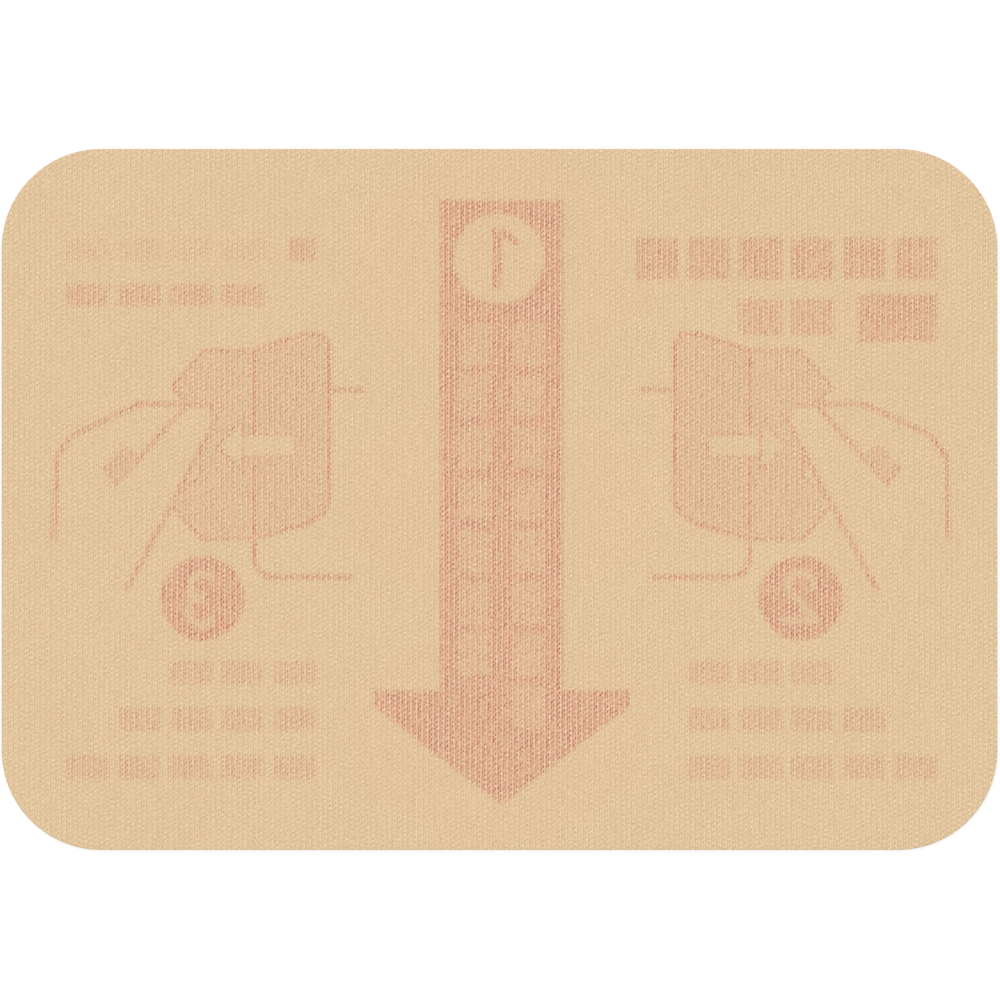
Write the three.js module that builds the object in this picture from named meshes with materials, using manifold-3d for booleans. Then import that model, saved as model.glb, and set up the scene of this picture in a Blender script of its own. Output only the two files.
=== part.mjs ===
// A transdermal patch as it comes out of its pouch: knitted backing cloth, drug adhesive, and a release
// film that two zigzag slits divide into a middle piece, peeled first, and a piece on each side of it.
// Millimetres, +Z up, knitted side up. The origin is the middle of the film's underside, which the patch
// rests on. +X runs along the long side and +Y along the short side.

import * as THREE from "three";
import { mergeVertices } from "three/addons/utils/BufferGeometryUtils.js";
import Module from "manifold-3d";

// Outline that the die cuts through cloth, adhesive and film in one stroke
const patchLength = 100;
const patchWidth = 70.4;
const cornerRadius = 10;
const cornerSegments = 14;

// Layers, from the film up
const filmThickness = 0.1;
const adhesiveThickness = 0.15;
const clothThickness = 0.5;

// Knit: each wale is a rib along Y, and the cloth's thickness is measured at its crest
const walePitch = 0.535;
const waleHeight = 0.12;
const waleSegments = 4;

// Zigzag slits in the film: wide crests at the long edges, narrow troughs between them
const slitWidth = 0.1;
const slitRepeats = 3;
const crestHalfWidth = 15;
const troughHalfWidth = 6.6;
const crestFlat = 9;
const troughFlat = 4;
const slitCornerRadius = 1.2;
const slitCornerSegments = 4;

// How far the cutting shapes reach past what they cut
const cutOverrun = 2;

const wasm = await Module();
wasm.setup();

// A closed geometry as a solid that can be joined and cut
function solidFrom(geometry) {
  const bare = geometry.clone();
  bare.deleteAttribute("normal");
  bare.deleteAttribute("uv");
  const merged = mergeVertices(bare);
  return new wasm.Manifold(
    new wasm.Mesh({
      numProp: 3,
      vertProperties: merged.attributes.position.array,
      triVerts: new Uint32Array(merged.index.array),
    }),
  );
}

// A solid back as a geometry with flat-shaded faces
function geometryFrom(solid) {
  const mesh = solid.getMesh();
  const geometry = new THREE.BufferGeometry();
  geometry.setAttribute("position", new THREE.BufferAttribute(mesh.vertProperties, 3));
  geometry.setIndex(new THREE.BufferAttribute(mesh.triVerts, 1));
  const faceted = geometry.toNonIndexed();
  faceted.computeVertexNormals();
  return faceted;
}

// Rectangle with round corners, centred on the origin
function patchOutline() {
  const x = patchLength / 2 - cornerRadius;
  const y = patchWidth / 2 - cornerRadius;
  const outline = new THREE.Shape();
  outline.absarc(x, y, cornerRadius, 0, Math.PI / 2);
  outline.absarc(-x, y, cornerRadius, Math.PI / 2, Math.PI);
  outline.absarc(-x, -y, cornerRadius, Math.PI, 1.5 * Math.PI);
  outline.absarc(x, -y, cornerRadius, 1.5 * Math.PI, 2 * Math.PI);
  outline.closePath();
  return outline;
}

// A layer of the whole patch outline, standing on z = 0
function patchLayer(thickness) {
  return new THREE.ExtrudeGeometry(patchOutline(), {
    depth: thickness,
    bevelEnabled: false,
    curveSegments: cornerSegments,
  });
}

// Section of the knit across its wales: flat underneath, one low arch for each wale on top
function knitSection() {
  const wales = 2 * Math.ceil((patchLength / 2 + cutOverrun) / walePitch);
  const grooveZ = clothThickness - waleHeight;
  const left = (-wales / 2) * walePitch;
  const section = new THREE.Shape();
  section.moveTo(left, grooveZ);
  section.lineTo(left, 0);
  section.lineTo(-left, 0);
  section.lineTo(-left, grooveZ);
  for (let k = wales - 1; k >= 0; k--) {
    const x = left + k * walePitch;
    section.quadraticCurveTo(x + walePitch / 2, grooveZ + 2 * waleHeight, x, grooveZ);
  }
  return section;
}

// The cloth: a length of knit running along Y, cut to the patch outline
function backingCloth() {
  const run = patchWidth + 2 * cutOverrun;
  const knit = new THREE.ExtrudeGeometry(knitSection(), {
    depth: run,
    bevelEnabled: false,
    curveSegments: waleSegments,
  });
  knit.rotateX(Math.PI / 2);
  knit.translate(0, run / 2, 0);
  return geometryFrom(solidFrom(knit).intersect(solidFrom(patchLayer(clothThickness))));
}

// Corners of the right-hand slit, from below the film's lower edge to above its upper edge
function slitCorners() {
  const repeat = patchWidth / slitRepeats;
  const corners = [new THREE.Vector2(crestHalfWidth, -patchWidth / 2 - cutOverrun)];
  for (let k = 0; k < slitRepeats; k++) {
    const crestY = -patchWidth / 2 + k * repeat;
    const troughY = crestY + repeat / 2;
    corners.push(
      new THREE.Vector2(crestHalfWidth, crestY + crestFlat / 2),
      new THREE.Vector2(troughHalfWidth, troughY - troughFlat / 2),
      new THREE.Vector2(troughHalfWidth, troughY + troughFlat / 2),
      new THREE.Vector2(crestHalfWidth, crestY + repeat - crestFlat / 2),
    );
  }
  corners.push(new THREE.Vector2(crestHalfWidth, patchWidth / 2 + cutOverrun));
  return corners;
}

// The slit's middle line with its corners rounded off
function slitLine() {
  const corners = slitCorners();
  const line = new THREE.Path();
  line.moveTo(corners[0].x, corners[0].y);
  for (let k = 1; k < corners.length - 1; k++) {
    const corner = corners[k];
    const towards = (other) =>
      corner.clone().addScaledVector(
        other.clone().sub(corner).normalize(),
        Math.min(slitCornerRadius, corner.distanceTo(other) / 2),
      );
    const entry = towards(corners[k - 1]);
    const exit = towards(corners[k + 1]);
    line.lineTo(entry.x, entry.y);
    line.quadraticCurveTo(corner.x, corner.y, exit.x, exit.y);
  }
  line.lineTo(corners.at(-1).x, corners.at(-1).y);
  return line.getPoints(slitCornerSegments);
}

// A line moved sideways by a distance, to its right for a positive one, with its bends mitred
function offsetLine(points, distance) {
  const normals = points.slice(1).map((point, k) => {
    const along = point.clone().sub(points[k]).normalize();
    return new THREE.Vector2(along.y, -along.x);
  });
  return points.map((point, k) => {
    const before = normals[Math.max(k - 1, 0)];
    const after = normals[Math.min(k, normals.length - 1)];
    const mitre = before.clone().add(after).normalize();
    return point.clone().addScaledVector(mitre, distance / mitre.dot(before));
  });
}

// A piece of the film: what lies inside a closed line of points
function filmPiece(points) {
  const cutter = new THREE.ExtrudeGeometry(new THREE.Shape(points), {
    depth: filmThickness,
    bevelEnabled: false,
  });
  return geometryFrom(solidFrom(patchLayer(filmThickness)).intersect(solidFrom(cutter)));
}

// The middle piece reaches from slit to slit
function middleFilm() {
  const right = offsetLine(slitLine(), -slitWidth / 2);
  const left = right.map((point) => new THREE.Vector2(-point.x, point.y)).reverse();
  return filmPiece([...right, ...left]);
}

// A side piece reaches from its slit past the patch's end: side is 1 on the right and -1 on the left
function sideFilm(side) {
  const slit = offsetLine(slitLine(), slitWidth / 2);
  const farX = patchLength / 2 + cutOverrun;
  const rightHand = [
    ...slit.reverse(),
    new THREE.Vector2(farX, slit.at(-1).y),
    new THREE.Vector2(farX, slit[0].y),
  ];
  const points = rightHand.map((point) => new THREE.Vector2(side * point.x, point.y));
  return filmPiece(side > 0 ? points : points.reverse());
}

const clothMaterial = new THREE.MeshStandardMaterial({
  color: 0xe2c59e,
  roughness: 0.95,
  metalness: 0,
});
const adhesiveMaterial = new THREE.MeshStandardMaterial({
  color: 0xe8d9b4,
  roughness: 0.25,
  metalness: 0,
});
const filmMaterial = new THREE.MeshStandardMaterial({
  color: 0xe9dcc4,
  roughness: 0.2,
  metalness: 0,
});

function subpart(name, geometry, material, z) {
  const mesh = new THREE.Mesh(geometry, material);
  mesh.name = name;
  mesh.position.z = z;
  return mesh;
}

const patch = new THREE.Group();
patch.name = "transdermal_patch";
patch.add(
  subpart("release_film_middle", middleFilm(), filmMaterial, 0),
  subpart("release_film_left", sideFilm(-1), filmMaterial, 0),
  subpart("release_film_right", sideFilm(1), filmMaterial, 0),
  subpart("drug_adhesive", patchLayer(adhesiveThickness), adhesiveMaterial, filmThickness),
  subpart("backing_cloth", backingCloth(), clothMaterial, filmThickness + adhesiveThickness),
);

export default patch;
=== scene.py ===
import math
import bpy
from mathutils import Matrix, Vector, noise


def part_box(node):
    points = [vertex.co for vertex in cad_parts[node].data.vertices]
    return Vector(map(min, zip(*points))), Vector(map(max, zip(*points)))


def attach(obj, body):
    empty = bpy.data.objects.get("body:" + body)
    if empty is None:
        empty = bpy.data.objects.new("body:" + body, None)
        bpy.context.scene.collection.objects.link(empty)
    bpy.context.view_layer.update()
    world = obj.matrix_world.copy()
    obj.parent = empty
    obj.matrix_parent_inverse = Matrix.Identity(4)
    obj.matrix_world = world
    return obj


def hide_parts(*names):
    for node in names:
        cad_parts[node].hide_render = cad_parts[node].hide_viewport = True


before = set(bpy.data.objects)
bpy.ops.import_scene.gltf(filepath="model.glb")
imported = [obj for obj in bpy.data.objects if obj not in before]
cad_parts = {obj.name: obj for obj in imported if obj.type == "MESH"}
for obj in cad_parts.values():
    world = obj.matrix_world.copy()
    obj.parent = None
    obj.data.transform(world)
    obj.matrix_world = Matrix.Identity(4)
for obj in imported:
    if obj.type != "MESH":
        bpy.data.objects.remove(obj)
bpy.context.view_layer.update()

mm = 0.001
clothLow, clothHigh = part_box("backing_cloth")
patchSize = {
    "length": clothHigh[0] - clothLow[0],
    "width": clothHigh[1] - clothLow[1],
    "corner": 10 * mm,  # radius of the die's corners
}

print("camera, floor and light")

view = {
    "lens": 150,  # long, so that the flat patch keeps its proportions
    "sensor": 36,
    "across": 100.39 * mm,  # what the picture's width takes in at the cloth
    "aside": (0.05 * mm, -0.06 * mm),
    "clip": (0.01, 10),
    "floorSize": 3.0,
    "floorTone": 0.45,
    "floorGlow": 0.6,  # only to the eye: lifts the floor to white and keeps the shadow
    "skyLight": 0.8,
    "sunLight": 0.95,
    "sunAngle": 40,  # degrees, a broad soft source
    "sunTurn": (-22, -16, 0),  # degrees, from the upper left
}

eyeData = bpy.data.cameras.new("eye")
eyeData.lens = view["lens"]
eyeData.sensor_width = view["sensor"]
eyeData.clip_start, eyeData.clip_end = view["clip"]
eye = bpy.data.objects.new("eye", eyeData)
bpy.context.scene.collection.objects.link(eye)
bpy.context.scene.camera = eye
eyeHeight = view["across"] * view["lens"] / view["sensor"]
eye.location = (*view["aside"], clothHigh[2] + eyeHeight)

bpy.context.scene.view_settings.view_transform = "Standard"


def linear(red, green, blue):  # a colour as it looks on a screen, 0 to 255, as light
    def one(v):
        v /= 255
        return v / 12.92 if v <= 0.04045 else ((v + 0.055) / 1.055) ** 2.4
    return (one(red), one(green), one(blue), 1)


class Value:  # a socket that takes part in sums
    def __init__(self, finish, out):
        self.finish, self.out = finish, out

    def maths(self, operation, *others, clamp=False):
        return self.finish.maths(operation, self, *others, clamp=clamp)

    def __add__(self, other):
        return self.maths("ADD", other)

    def __sub__(self, other):
        return self.maths("SUBTRACT", other)

    def __mul__(self, other):
        return self.maths("MULTIPLY", other)

    def __truediv__(self, other):
        return self.maths("DIVIDE", other)

    def __rsub__(self, other):
        return self.finish.maths("SUBTRACT", other, self)

    def __rtruediv__(self, other):
        return self.finish.maths("DIVIDE", other, self)

    def __abs__(self):
        return self.maths("ABSOLUTE")

    def scaled(self, factor, plus, clamp=False):
        return self.maths("MULTIPLY_ADD", factor, plus, clamp=clamp)

    __radd__ = __add__
    __rmul__ = __mul__


class Finish:  # the nodes of a material or of the world, and the one way of adding to them
    def __init__(self, owner, shader="Principled BSDF"):
        owner.use_nodes = True
        self.owner, self.tree = owner, owner.node_tree
        self.shader = self.tree.nodes[shader]

    def feed(self, socket, value):
        if isinstance(value, Value):
            self.tree.links.new(value.out, socket)
        else:
            socket.default_value = value

    def node(self, kind, settings=None, sockets=None):
        made = self.tree.nodes.new(kind)
        for key, value in (settings or {}).items():
            setattr(made, key, value)
        for key, value in (sockets or {}).items():
            self.feed(made.inputs[key], value)
        return made

    def maths(self, operation, *terms, clamp=False):
        settings = {"operation": operation, "use_clamp": clamp}
        made = self.node("ShaderNodeMath", settings, dict(enumerate(terms)))
        return Value(self, made.outputs[0])

    def vector(self, operation, *terms, **named):
        sockets = {**dict(enumerate(terms)), **named}
        made = self.node("ShaderNodeVectorMath", {"operation": operation}, sockets)
        return Value(self, made.outputs[0])

    def mix(self, share, first, second):
        made = self.node("ShaderNodeMix", {"data_type": "RGBA"}, {0: share, 6: first, 7: second})
        return Value(self, made.outputs[2])

    def smooth(self, value, low, high, start=0, end=1):  # start below low, end above high
        made = self.node(
            "ShaderNodeMapRange",
            {"interpolation_type": "SMOOTHSTEP"},
            {"Value": value, "From Min": low, "From Max": high, "To Min": start, "To Max": end},
        )
        return Value(self, made.outputs[0])

    def ramp(self, value, low, high, start, end):  # straight from start to end
        made = self.node(
            "ShaderNodeMapRange",
            None,
            {"Value": value, "From Min": low, "From Max": high, "To Min": start, "To Max": end},
        )
        return Value(self, made.outputs[0])

    def place(self):  # where on the patch, in millimetres
        made = self.node("ShaderNodeTexCoord")
        return self.vector("SCALE", Value(self, made.outputs["Object"]), Scale=1 / mm)

    def split(self, vector):
        made = self.node("ShaderNodeSeparateXYZ", None, {0: vector})
        return [Value(self, out) for out in made.outputs]

    def join(self, x, y, z=0):
        made = self.node("ShaderNodeCombineXYZ", None, {0: x, 1: y, 2: z})
        return Value(self, made.outputs[0])

    def cloud(self, vector, scale, detail=2):  # smooth noise about 0.5
        sockets = {"Vector": vector, "Scale": scale, "Detail": detail}
        return Value(self, self.node("ShaderNodeTexNoise", None, sockets).outputs[0])

    def speckle(self, vector):  # one chance value for each place
        made = self.node("ShaderNodeTexWhiteNoise", {"noise_dimensions": "3D"}, {"Vector": vector})
        return Value(self, made.outputs["Value"])

    def seen(self):  # 1 for what the eye sees straight, in a mirror or through glass
        path = self.node("ShaderNodeLightPath")
        rays = ("Is Camera Ray", "Is Glossy Ray", "Is Transmission Ray")
        return sum(Value(self, path.outputs[ray]) for ray in rays).maths("MINIMUM", 1)

    def paint(self, socket, value):
        self.feed(self.shader.inputs[socket], value)

    def relief(self, height, depth):  # height 0 to 1, depth in millimetres
        made = self.node("ShaderNodeBump", None, {"Height": height, "Distance": depth * mm})
        self.paint("Normal", Value(self, made.outputs[0]))


black, white = (0, 0, 0, 1), (1, 1, 1, 1)

floorMesh = bpy.data.meshes.new("floor")
half = view["floorSize"] / 2
corners = [(-half, -half, 0), (half, -half, 0), (half, half, 0), (-half, half, 0)]
floorMesh.from_pydata(corners, [], [(0, 1, 2, 3)])
floor = bpy.data.objects.new("floor", floorMesh)
bpy.context.scene.collection.objects.link(floor)

floorFinish = Finish(bpy.data.materials.new("palePaper"))
floorFinish.paint("Roughness", 1.0)
floorFinish.paint("Base Color", (*[view["floorTone"]] * 3, 1))
floorFinish.paint("Specular IOR Level", 0)
floorFinish.paint("Emission Strength", view["floorGlow"])
floorFinish.paint("Emission Color", floorFinish.mix(floorFinish.seen(), black, white))
floorMesh.materials.append(floorFinish.owner)

sky = Finish(bpy.data.worlds.new("softbox"), "Background")
bpy.context.scene.world = sky.owner
sky.paint("Color", white)
sky.paint("Strength", view["skyLight"])
lit = Value(sky, sky.shader.outputs[0])
plain = Value(sky, sky.node("ShaderNodeBackground", None, {"Color": white}).outputs[0])
both = sky.node("ShaderNodeMixShader", None, {0: sky.seen(), 1: lit, 2: plain})
sky.feed(sky.tree.nodes["World Output"].inputs["Surface"], Value(sky, both.outputs[0]))

sunData = bpy.data.lights.new("window", "SUN")
sunData.energy = view["sunLight"]
sunData.angle = math.radians(view["sunAngle"])
sun = bpy.data.objects.new("window", sunData)
sun.rotation_euler = [math.radians(turn) for turn in view["sunTurn"]]
bpy.context.scene.collection.objects.link(sun)

print("print on the film")


class Drawing:  # shapes on the film, each told by how far outside its edge a place is
    def __init__(self, x, y, soft):
        self.x, self.y, self.soft = x, y, soft

    def about(self, x, y):  # the same drawing, measured from another place
        return Drawing(self.x - x, self.y - y, self.soft)

    def fill(self, distance, share=1):
        return self.x.finish.smooth(distance, -self.soft, self.soft, share, 0)

    def bar(self, x, y, halfX, halfY):
        return most(abs(self.x - x) - halfX, abs(self.y - y) - halfY)

    def disc(self, x, y, radius):
        offX, offY = self.x - x, self.y - y
        return offX.scaled(offX, offY * offY).maths("SQRT") - radius

    def edge(self, start, end):  # how far a place is to the right of a line from start to end
        start, end = Vector(start), Vector(end)
        across = Vector((end.y - start.y, start.x - end.x)).normalized()
        return self.x.scaled(across.x, self.y.scaled(across.y, -across.dot(start)))

    def polygon(self, points):  # convex, its points anticlockwise
        distance = self.edge(points[-1], points[0])
        for start, end in zip(points, points[1:]):
            distance = most(distance, self.edge(start, end))
        return distance

    def stroke(self, start, end):
        start, run = Vector(start), Vector(end) - Vector(start)
        along = run / run.length_squared
        share = self.x.scaled(along.x, self.y.scaled(along.y, -along.dot(start)), clamp=True)
        offX = share.scaled(-run.x, self.x - start.x)
        offY = share.scaled(-run.y, self.y - start.y)
        return offX.scaled(offX, offY * offY).maths("SQRT")

    def strokes(self, points):
        return least(*[self.stroke(start, end) for start, end in zip(points, points[1:])])


def least(first, *others):
    for other in others:
        first = first.maths("MINIMUM", other)
    return first


def most(first, *others):
    for other in others:
        first = first.maths("MAXIMUM", other)
    return first


ink = {  # millimetres from the print's middle line, as seen from the cloth's side
    "middle": 0.22,
    "shaft": (6.15, 30.0, -19.5),  # half width, top, bottom
    "head": (12.8, -19.2, -30.7),  # half width, top, tip
    "barb": 1.6,  # height of the head's blunt ends
    "window": (-0.25, 24.2, 4.55),  # the round window with the first number: x, y, radius
    "steps": (30.05, -9.95, 4.2),  # the numbered discs on each side: x, y, radius
}

numbers = {  # millimetres from a disc's middle, mirrored, as the film is seen from behind
    "oneStem": (-0.15, 0, 0.5, 3.0),  # x, y, half width, half height
    "oneFlag": ((0.3, 2.6), (1.7, 1.7)),
    "oneFlagHalf": 0.33,
    "twoBowl": (0, 1.3, 1.3),
    "twoBowlEnd": ((-2, 0.7), (2, 1.2)),
    "twoFoot": [(-1.2, 0.8), (1.5, -2.2), (-1.7, -2.2)],
    "threeBowls": ((0, 1.25, 1.2), (0, -1.25, 1.4)),
    "threeOpen": [(-0.2, 0), (2.0, -4.6), (2.0, 4.6)],
    "half": 0.38,  # half width of the two's and the three's line
    "clear": 0.8,  # how much of the disc's ink they leave out
}


def arrow(d):
    halfWidth, top, bottom = ink["shaft"]
    shaft = d.bar(0, (top + bottom) / 2, halfWidth, (top - bottom) / 2)
    wide, headTop, tip = ink["head"]
    low = headTop - ink["barb"]
    head = d.polygon([(-wide, headTop), (-wide, low), (0, tip), (wide, low), (wide, headTop)])
    return least(shaft, head)


def numberOne(d):
    x, y, _ = ink["window"]
    one = d.about(x, y)
    flag = one.stroke(*numbers["oneFlag"]) - numbers["oneFlagHalf"]
    return least(one.bar(*numbers["oneStem"]), flag)


def numberTwo(d):
    x, y, _ = ink["steps"]
    two = d.about(x, y)
    bowl = most(abs(two.disc(*numbers["twoBowl"])), two.edge(*numbers["twoBowlEnd"]))
    return least(bowl, two.strokes(numbers["twoFoot"])) - numbers["half"]


def numberThree(d):
    x, y, _ = ink["steps"]
    three = d.about(-x, y)
    bowls = least(*[abs(three.disc(*bowl)) for bowl in numbers["threeBowls"]])
    return most(bowls, three.polygon(numbers["threeOpen"]) * -1) - numbers["half"]


picture = {  # a folded patch and a hand, in millimetres from the fold and the patch's middle
    "fold": 24.85,  # from the print's middle line
    "flap": [
        (-7.5, 0.0), (-6.9, -1.4), (-5.3, -2.4), (0, -3.9),
        (0, 14.9), (-5.1, 16.6), (-6.8, 16.5), (-7.5, 15.4),
    ],
    "turnedBar": (2.7, 5.0, 2.7, 5.0),  # the turned half's middle: x, y, half width, half height
    "turnedLow": [(0, -3.9), (5.2, -4.0), (8.6, -0.2), (5.4, 2.2), (0, 2.2)],
    "turnedTop": [(0, 8.0), (5.4, 8.4), (8.2, 11.3), (5.1, 14.9), (0, 14.9)],
    "hand": [
        (4.3, 9.5), (3.9, 7.8), (13.2, -9.8), (20.3, -9.8), (19.8, 4.3), (18.3, 6.4), (11.5, 9.6),
    ],
    "wrist": ((12.0, -9.4), (20.5, -3.4)),  # the hand's outline stops here
    "finger": [(6.8, 9.4), (13.8, 1.7), (15.0, 3.2)],
    "nail": [(11.3, 4.4), (13.8, 1.7), (15.0, 3.2), (13.2, 5.6)],
    "skin": (-9.1, 11.0, 1.7, 0),
    "under": [(0, -3.9), (0, -6.2), (-0.5, -7.3), (-1.7, -7.8), (-9.4, -7.8)],
    "pointerBar": (-1.4, 5.4, 2.6, 1.1),
    "pointerHead": [(1.2, 2.9), (3.7, 5.4), (1.2, 7.9)],
    "pointerBare": 0.13,  # how far inside its outline the pointer has no ink
    "fillInk": {"flap": 0.42, "turned": 0.36, "nail": 0.45},  # share of the full ink
    "lineInk": {"flap": 0.9, "turned": 0.9, "hand": 0.8, "pointer": 0.85},
    "line": 0.26,  # half width of a drawn line
    "turnedLine": 0.208,
}


def peelingPicture(d):
    p = d.about(picture["fold"], 0)
    line, fillInk, lineInk = picture["line"], picture["fillInk"], picture["lineInk"]
    flap = p.polygon(picture["flap"])
    turned = least(
        p.bar(*picture["turnedBar"]),
        p.polygon(picture["turnedLow"]),
        p.polygon(picture["turnedTop"]),
    )
    hand = p.polygon(picture["hand"])
    away = 1 - p.fill(hand)
    handLine = most(abs(hand), p.edge(*picture["wrist"]))
    handLine = least(p.strokes(picture["finger"]), p.bar(*picture["skin"]), handLine)
    pointer = least(p.bar(*picture["pointerBar"]), p.polygon(picture["pointerHead"]))
    drawn = most(p.fill(flap, fillInk["flap"]), p.fill(turned, fillInk["turned"]) * away)
    drawn = most(drawn, p.fill(p.polygon(picture["nail"]), fillInk["nail"]))
    turnedLine = abs(turned) - picture["turnedLine"]
    drawn = most(drawn, p.fill(turnedLine, lineInk["turned"]) * away)
    flapLine = least(abs(flap), p.strokes(picture["under"]))
    drawn = most(drawn, p.fill(flapLine - line, lineInk["flap"]))
    drawn = most(drawn, p.fill(handLine - line, lineInk["hand"]))
    drawn = most(drawn, p.fill(abs(pointer) - line, lineInk["pointer"]))
    return drawn * (1 - p.fill(pointer + picture["pointerBare"]))


bars = {  # plain bars: from, to, middle line, half height, ink
    "bothSides": (
        (18.2, 33.8, -17.4, 1.2, 0.4),
        (18.2, 39.0, -22.1, 1.2, 0.44),
        (18.2, 44.2, -26.9, 1.2, 0.42),
    ),
    "left": ((-44.2, -23.4, 20.5, 1.1, 0.58), (-44.2, -23.4, 25.1, 1.1, 0.22)),
    "right": ((13.0, 44.2, 24.2, 2.1, 0.66), (23.4, 33.8, 18.3, 1.8, 0.6)),
    "whole": ((-21.4, -18.6, 25.1, 1.2, 0.55), (35.8, 43.7, 18.2, 2.4, 0.72)),
    "step": 5.2,  # from one gap in a row to the next
    "gap": 0.45,  # half its width
    "arrow": ((-2.75, 0, 1.6, 18.2), (2.65, -2.6, 1.6, 20.8)),  # x, y, half width, half length
    "arrowInk": 0.5,  # what they leave of the arrow's ink
}


def barRows(d, rows):
    return most(*[
        d.fill(d.bar((start + end) / 2, y, (end - start) / 2, halfY), share)
        for start, end, y, halfY, share in rows
    ])


def barGaps(d, along):
    toGap = abs((along / bars["step"]).maths("FRACT") - 0.5) * bars["step"]
    return d.fill(toGap - bars["gap"])


def printedInk(x, y, soft):
    x = x - ink["middle"]
    d = Drawing(x, y, soft)
    mirrored = Drawing(abs(x), y, soft)
    window = d.fill(d.disc(*ink["window"]))
    columns = d.fill(least(*[d.bar(*column) for column in bars["arrow"]]), 1 - bars["arrowInk"])
    inked = d.fill(arrow(d)) * (1 - window) * (1 - columns * (1 - barGaps(d, y)))
    inked = most(inked, window * d.fill(numberOne(d)))
    discs = d.fill(mirrored.disc(*ink["steps"]))
    discs = discs * (1 - d.fill(least(numberTwo(d), numberThree(d)), numbers["clear"]))
    inked = most(inked, discs, peelingPicture(mirrored), barRows(d, bars["whole"]))
    rows = most(barRows(mirrored, bars["bothSides"]), barRows(d, bars["left"] + bars["right"]))
    return most(inked, rows * (1 - barGaps(d, x)))


print("knitted cloth")

knit = {
    "wale": 0.535,  # millimetres between ribs
    "course": 0.4985,  # millimetres between stitches along a rib
    "ribHeight": 0.12,
    "samples": 6,  # points across a rib
    "rows": 70,
    "rim": (0.0, 0.1, 0.3),  # how far the rows close to the cut edge are from it
    "rimDrop": 0.05,
    "endInset": 0.02,
    "unevenness": 0.015,
    "unevenGrain": 90,  # swells to the metre
    "below": 0.01,  # how far the ribs stay under the solid's
}


def halfWidthAt(x):  # how far the outline is from the long axis at x
    past = abs(x) - (patchSize["length"] / 2 - patchSize["corner"])
    straight = patchSize["width"] / 2
    if past <= 0:
        return straight
    corner = patchSize["corner"]
    return straight - corner + math.sqrt(max(corner**2 - past**2, 0))


def columnPlaces():  # where the columns of points stand along the patch
    end = patchSize["length"] / 2
    step = knit["wale"] * mm / knit["samples"]
    count = math.floor(end / step)
    ends = [end - knit["endInset"] * mm, end]
    return [-x for x in reversed(ends)] + [k * step for k in range(-count, count + 1)] + ends


def columnPoints(x):  # across the patch at x, from its far edge to its near one
    rim = [halfWidthAt(x) - inset * mm for inset in knit["rim"]]
    gaps = knit["rows"] - 2 * len(rim) + 1
    middle = [rim[-1] * (1 - 2 * k / gaps) for k in range(1, gaps)]
    across = rim + middle + [-y for y in reversed(rim)]
    return [(x, y, faceHeight(x, y, row)) for row, y in enumerate(across)]


def faceHeight(x, y, row):
    arch = (0.5 - 0.5 * math.cos(2 * math.pi * x / (knit["wale"] * mm))) ** 2  # 0 in a groove
    fromEdge = min(row, knit["rows"] - 1 - row, 2) / 2
    fromEnd = min((patchSize["length"] / 2 - abs(x)) / (knit["rim"][-1] * mm), 1)
    drop = knit["rimDrop"] * (1 - min(fromEdge, fromEnd)) ** 2
    swell = knit["unevenness"] * (noise.noise(Vector((x, y, 0)) * knit["unevenGrain"]) - 0.5)
    low = clothHigh[2] - knit["ribHeight"] * mm
    return low + (knit["ribHeight"] * arch - drop + swell - knit["below"]) * mm


def knitSheet():
    columns = columnPlaces()
    rows = knit["rows"]
    points, faces = [], []
    for x in columns:
        points += columnPoints(x)
    base = len(points)
    for x in columns:
        reach = halfWidthAt(x)
        points += [(x, reach, clothLow[2]), (x, -reach, clothLow[2])]
    for c in range(len(columns) - 1):
        a, b = c * rows, (c + 1) * rows
        p, q = base + 2 * c, base + 2 * (c + 1)
        faces += [(a + r, a + r + 1, b + r + 1, b + r) for r in range(rows - 1)]
        faces += [(a, b, q, p), (b + rows - 1, a + rows - 1, p + 1, q + 1), (p, q, q + 1, p + 1)]
    last = len(columns) - 1
    leftEnd, rightEnd = [
        [c * rows + r for r in range(rows)] + [base + 2 * c + 1, base + 2 * c] for c in (0, last)
    ]
    faces += [tuple(reversed(leftEnd)), tuple(rightEnd)]
    mesh = bpy.data.meshes.new("knittedCloth")
    mesh.from_pydata(points, [], faces)
    mesh.validate()
    mesh.update()
    for face in mesh.polygons:
        face.use_smooth = len(face.vertices) == 4
    piece = bpy.data.objects.new("knittedCloth", mesh)
    bpy.context.scene.collection.objects.link(piece)
    return piece


slits = {  # millimetres, as cut in the film
    "repeat": patchSize["width"] / mm / 3,
    "crest": 15.0,
    "trough": 6.6,
    "crestFlat": 9.0,
    "troughFlat": 4.0,
}


def middleZone(f, x, y, soft):  # 1 over the tinted middle piece of the film
    repeat, crestEnd = slits["repeat"], slits["crestFlat"] / 2
    toCrest = abs((y / repeat + 0.5).maths("FRACT") - 0.5) * repeat
    troughStart = (repeat - slits["troughFlat"]) / 2
    edge = f.ramp(toCrest, crestEnd, troughStart, slits["crest"], slits["trough"])
    return f.smooth(abs(x) - edge, -soft, soft, 1, 0)


# Strand and cord are lighter as painted highlight on the raised yarn; groove and hole are darker as
# painted shade in the recesses, and over print these two also show the print through the gaps.
clothTonesWithPaintedLight = {  # each as plain cloth and as cloth over print; all but the ground carry painted light
    "ground": (linear(220, 192, 153), linear(218, 170, 137)),
    "litStrand": (linear(230, 204, 168), linear(230, 181, 150)),
    "shadedGroove": (linear(210, 181, 141), linear(166, 68, 48)),
    "litCord": (linear(229, 202, 165), linear(233, 202, 171)),
    "shadedHole": (linear(194, 165, 123), linear(146, 82, 60)),
}

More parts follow.
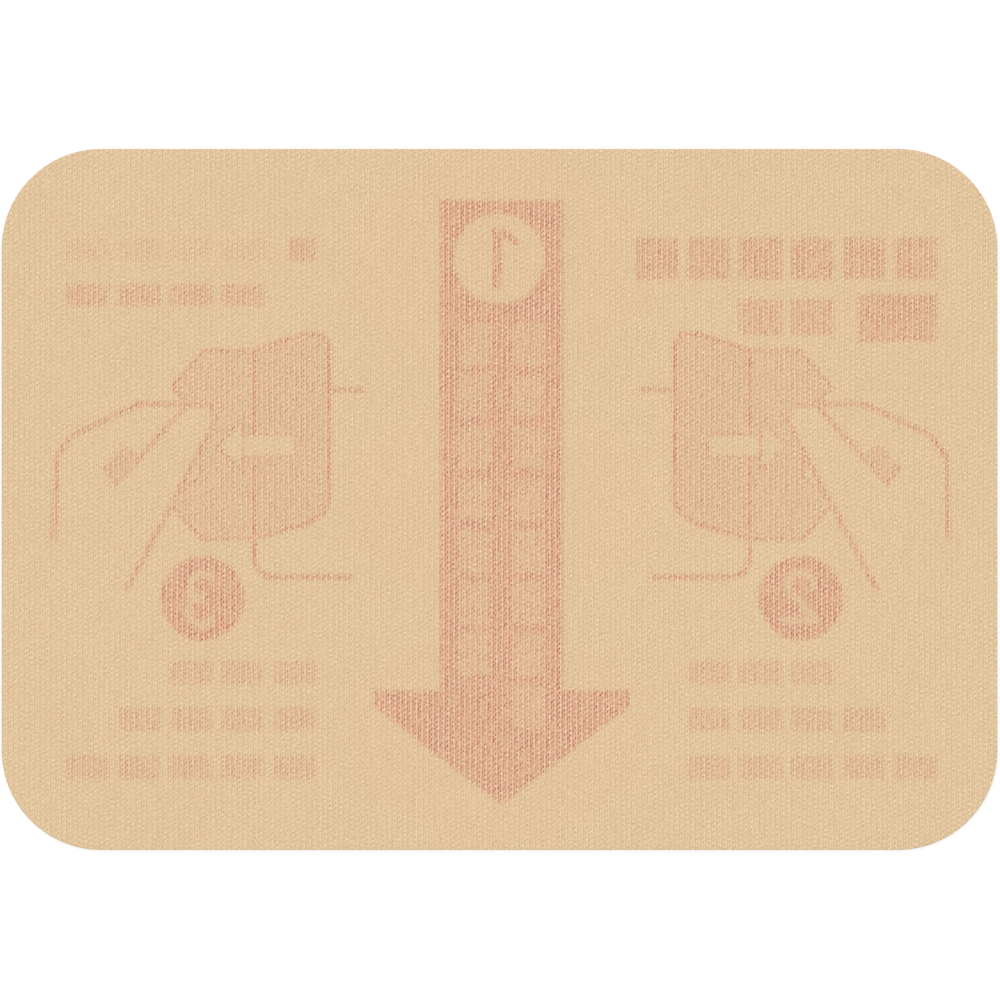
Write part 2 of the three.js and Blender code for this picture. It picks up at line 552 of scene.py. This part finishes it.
stitch = {  # across in ribs from a crest to the next, along in stitches
    "sway": 0.5,  # the ribs' drift sideways
    "swayGrain": (0.3, 0.12),  # how fast it changes in X and Y
    "wander": 1.4,  # the stitches' drift along a rib
    "wanderGrain": (7.3, 0.25),  # how fast it changes from rib to rib and along one
    "lean": 0.4,  # how far each rib's stitches sit below those of the rib on its left
    "slant": 1.4,  # how far a strand climbs on its way from one crest to the next
    "litCord": (0.02, 0.17),  # thread along a crest: where it starts to fade and where it ends
    "cordWave": 0.05,
    "litStrand": (0.62, 0.08, 0.24),  # middle, start and end of fading
    "shadedGroove": (0.36, 0.0, 0.16),
    "shadedHole": (0.72, 0.0, 0.16),
    "dip": (-0.3, 0.9),  # where along a stitch the hole starts and is deepest, by its wave
    "rise": (0.1, -0.9),  # the same for the strand
    "strandLuck": (1.2, 0.4),  # how unlike the stitches are, and the least of each
    "holeLuck": (1.2, 0.3),
    "grooveLuck": 0.3,
    "fibreGrain": 4.5,  # fibres to the millimetre
    "fray": (0.2, 0.3),  # how far fibres push a cord's and a groove's edge
    "streakGrain": (3.1, 0.45),
    "patchGrain": 0.11,
    "shade": {"streak": 0.1, "patch": 0.04, "fibre": (0.5, 0.6)},  # fibre: more over print
    "warmth": (0.7, 1, 1.3),  # share of a shade in red, green and blue
    "raised": {"litCord": 0.4, "litStrand": 0.3, "shadedHole": 0.3},
    "relief": 0.02,
}

showThrough = {  # how the film shows through the cloth
    "blur": 0.32,  # millimetres
    "pull": 0.35,  # how far the ink gathers at the middle of each stitch
    "chance": (0.5, 0.75),  # how unlike the stitches take it, and the least
    "streak": (0.8, 0.6),
    "blush": linear(219, 180, 145),  # from the tinted middle piece
    "blushShare": 0.07,
    "blushBlur": 0.6,
}


def clothFinish():
    f = Finish(bpy.data.materials.new("beigeKnit"))
    f.paint("Roughness", 0.92)
    x, y, _ = f.split(f.place())
    swayX, swayY = stitch["swayGrain"]
    drift = f.cloud(f.join(x * swayX, y * swayY), 1.0) - 0.5
    across = x / knit["wale"] + drift * stitch["sway"] - 0.5
    rib = across.maths("FLOOR")
    off = across - rib  # 0 on one rib's crest, 1 on the next to its right
    along = y / knit["course"] + rib * stitch["lean"] - off * stitch["slant"]
    wanderX, wanderY = stitch["wanderGrain"]
    wander = f.cloud(f.join(rib * wanderX, y * wanderY), 1.0) - 0.5
    along = along + wander * stitch["wander"]
    turn = along * (2 * math.pi)
    middle = along.maths("ROUND")
    chance = f.speckle(f.join(rib, middle))
    luck = f.speckle(f.join(rib, (along + 0.5).maths("ROUND"), 5))
    fibre = f.cloud(f.join(x, y), stitch["fibreGrain"], 1) - 0.5
    streakX, streakY = stitch["streakGrain"]
    streak = f.cloud(f.join(rib * streakX, y * streakY, 4), 1.0, 3)

    def band(name, fray=0):  # 1 along the middle of what is named, and 0 beside it
        at, start, end = stitch[name]
        return f.smooth(abs(off - at + fray), start, end, 1, 0)

    wave = turn.maths("COSINE")  # 1 in a hole, -1 on the strand above it
    dip, rise = f.smooth(wave, *stitch["dip"]), f.smooth(wave, *stitch["rise"])
    cordFray, grooveFray = stitch["fray"]
    cordOff = off - off.maths("ROUND") + turn.maths("SINE") * stitch["cordWave"]
    # Where the painted highlight on the raised cord and strand and the painted shade in the groove
    # and hole go; cord, strand and hole also set the relief.
    litCord = f.smooth(abs(cordOff + fibre * cordFray), *stitch["litCord"], 1, 0) * (streak + luck)
    litStrand = rise * band("litStrand") * luck.scaled(*stitch["strandLuck"])
    shadedGroove = band("shadedGroove", fibre * grooveFray) * luck.scaled(stitch["grooveLuck"], dip * chance)
    shadedHole = dip * band("shadedHole") * luck.scaled(*stitch["holeLuck"])
    pull = showThrough["pull"]
    inked = printedInk(
        x + (0.5 - off) * (pull * knit["wale"]),
        (middle - along).scaled(pull * knit["course"], y),
        showThrough["blur"],
    )
    taken = chance.scaled(*showThrough["chance"]) * streak.scaled(*showThrough["streak"])
    inked = inked * taken
    # The yarn's tone with painted highlight on cord and strand and painted shade in groove and
    # hole, as plain cloth and over print.
    kinds = []
    for kind in (0, 1):
        colour = clothTonesWithPaintedLight["ground"][kind]
        for name, share in (("litStrand", litStrand), ("shadedGroove", shadedGroove), ("litCord", litCord), ("shadedHole", shadedHole)):
            colour = f.mix(share.maths("MINIMUM", 1), colour, clothTonesWithPaintedLight[name][kind])
        kinds.append(colour)
    blush = middleZone(f, x, y, showThrough["blushBlur"]) * showThrough["blushShare"]
    colour = f.mix(blush, kinds[0], showThrough["blush"])
    colour = f.mix(inked.maths("MINIMUM", 1), colour, kinds[1])
    patchy = f.cloud(f.join(x, y), stitch["patchGrain"], 3) - 0.5
    shade, raised = stitch["shade"], stitch["raised"]
    tone = (streak - 0.5) * shade["streak"] + patchy * shade["patch"]
    tone = tone + fibre * inked.scaled(*shade["fibre"])
    tint = f.join(*[tone.scaled(share, 1) for share in stitch["warmth"]])
    f.paint("Base Color", f.vector("MULTIPLY", colour, tint))
    height = litCord * raised["litCord"] + litStrand * raised["litStrand"] + (1 - shadedHole) * raised["shadedHole"]
    f.relief(height, stitch["relief"])
    return f.owner


cloth = knitSheet()
cloth.data.materials.append(clothFinish())
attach(cloth, "root")
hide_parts("backing_cloth")

print("adhesive and release film")

adhesive = {
    "tones": (linear(232, 217, 180), linear(222, 203, 160)),  # thin and deep
    "toneGrain": 0.3,
    "roughness": (0.2, 0.15),  # how much it changes, and the least
    "roughnessGrain": 1.5,
    "relief": 0.03,
    "reliefGrain": 0.9,
}

film = {
    "side": linear(236, 226, 205),
    "middle": linear(240, 214, 200),
    "ink": linear(214, 96, 84),
    "inkShare": 0.9,
    "inkBlur": 0.06,
    "roughness": (0.12, 0.14),
    "roughnessGrain": 0.8,
    "relief": 0.05,
    "reliefGrain": 0.25,
}


def adhesiveFinish():
    f = Finish(bpy.data.materials.new("drugAdhesive"))
    place = f.place()
    f.paint("Base Color", f.mix(f.cloud(place, adhesive["toneGrain"], 3), *adhesive["tones"]))
    smear = f.cloud(place, adhesive["roughnessGrain"], 3)
    f.paint("Roughness", smear.scaled(*adhesive["roughness"]))
    f.relief(f.cloud(place, adhesive["reliefGrain"]), adhesive["relief"])
    return f.owner


def filmFinish(name, tone):
    f = Finish(bpy.data.materials.new(name))
    place = f.place()
    x, y, _ = f.split(place)
    inked = printedInk(x, y, film["inkBlur"]) * film["inkShare"]
    f.paint("Base Color", f.mix(inked, tone, film["ink"]))
    haze = f.cloud(place, film["roughnessGrain"])
    f.paint("Roughness", haze.scaled(*film["roughness"]))
    f.relief(f.cloud(place, film["reliefGrain"]), film["relief"])
    return f.owner


def dress(node, material):
    for slot in bpy.data.objects[node].material_slots:
        slot.material = material


dress("drug_adhesive", adhesiveFinish())
dress("release_film_middle", filmFinish("pinkFilm", film["middle"]))
sideFilm = filmFinish("clearFilm", film["side"])
for side in ("left", "right"):
    dress(f"release_film_{side}", sideFilm)
